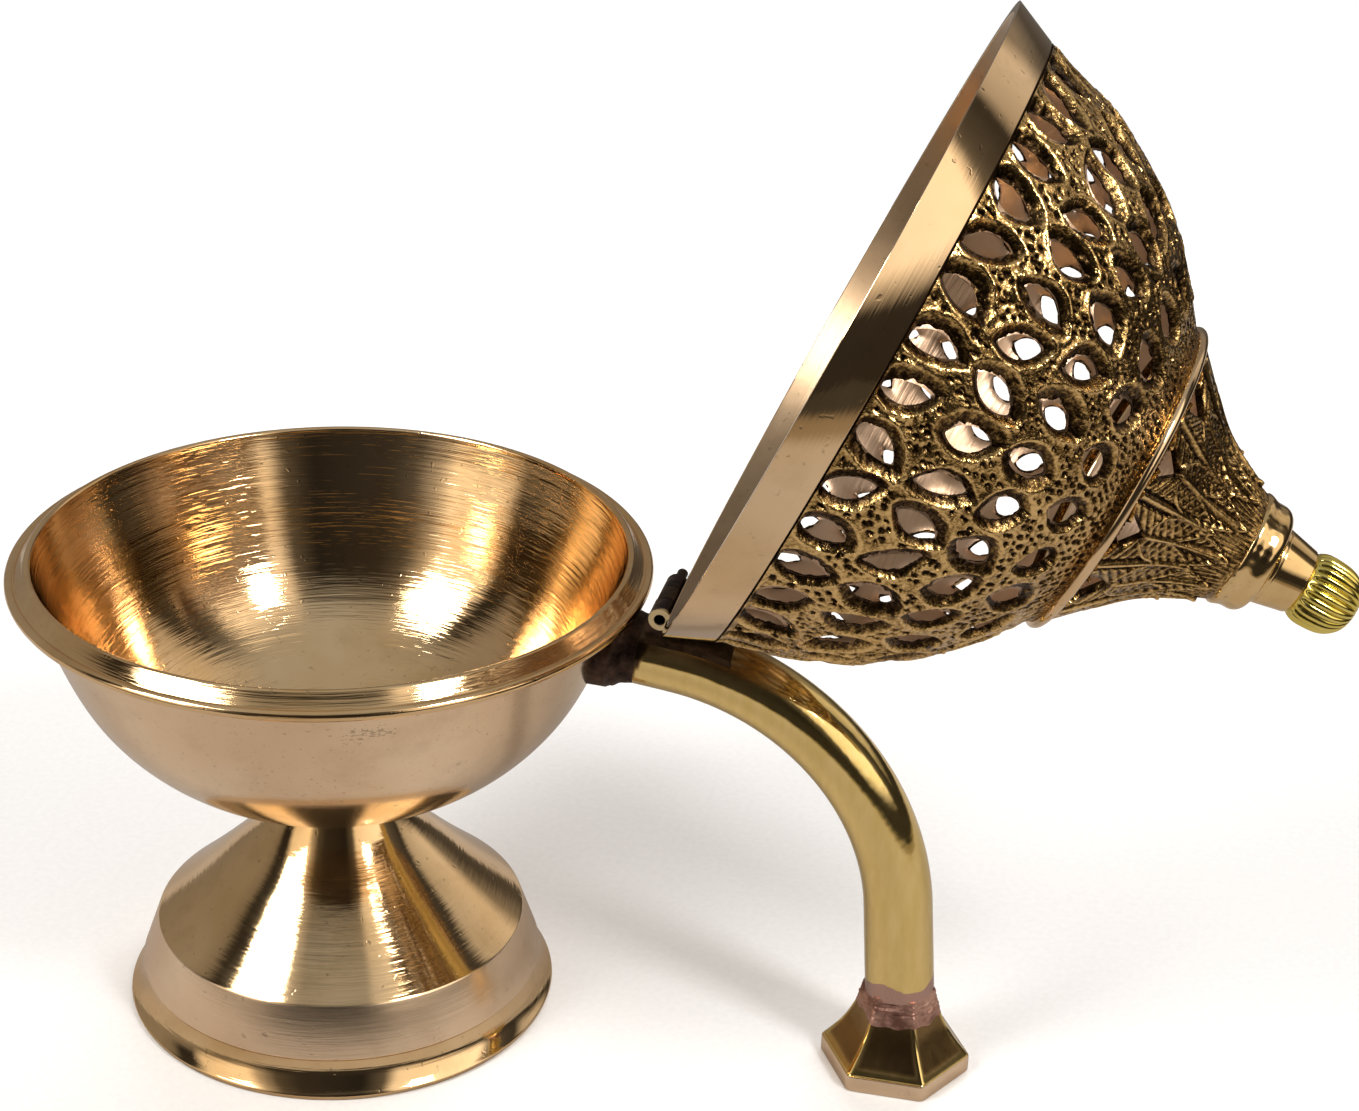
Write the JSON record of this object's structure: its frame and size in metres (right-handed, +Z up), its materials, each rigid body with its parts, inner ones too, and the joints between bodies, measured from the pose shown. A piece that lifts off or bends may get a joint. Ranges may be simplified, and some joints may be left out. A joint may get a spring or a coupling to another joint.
{
  "type": "incense burner",
  "caption": "Footed brass incense burner: a round bowl on a waisted pedestal, a bent tube handle ending in a hexagonal foot, and a hinged pierced dome lid with a knurled finial.",
  "frame": {"origin": "middle of the open burner's footprint, on the table", "axes": "+Z up, +X from the bowl towards the hinge, the handle and the open lid, Y along the hinge pin"},
  "size_m": [0.2052, 0.1032, 0.1724],
  "materials": {
    "polished_brass": "polished",
    "yellow_brass": "satin with smoky tarnish",
    "antique_brass": "cast, dark patina in the recesses",
    "plain_brass": "satin",
    "burnt_brass": "burnt and oxidised",
    "burnt_braze": "rough, burnt",
    "copper_braze": "lumpy, dull"
  },
  "bodies": {
    "burner": {"bowl": "polished_brass", "pedestal": "polished_brass", "base_stud": "plain_brass", "base_washer": "plain_brass", "base_nut": "plain_brass", "handle_tube": "yellow_brass", "handle_root_braze": "burnt_braze", "handle_foot": "yellow_brass", "handle_foot_braze": "copper_braze", "hinge_fixed_leaf": "burnt_brass", "hinge_leaf_braze": "burnt_braze", "hinge_pin": "burnt_brass"},
    "lid": {"lid_band": "polished_brass", "lid_dome": "antique_brass", "lid_neck": "antique_brass", "hinge_lid_leaf": "burnt_brass", "lid_leaf_braze": "burnt_braze", "finial_collar": "polished_brass", "finial_knob": "yellow_brass", "finial_stud": "plain_brass", "finial_washer": "plain_brass", "finial_nut": "plain_brass"}
  },
  "joints": [
    {"name": "lid_hinge", "type": "hinge", "parent": "burner", "child": "lid", "pos_m": [0.00098, 0, 0.0774], "axis": [0, 1, 0], "range_deg": [-115, 0]}
  ]
}
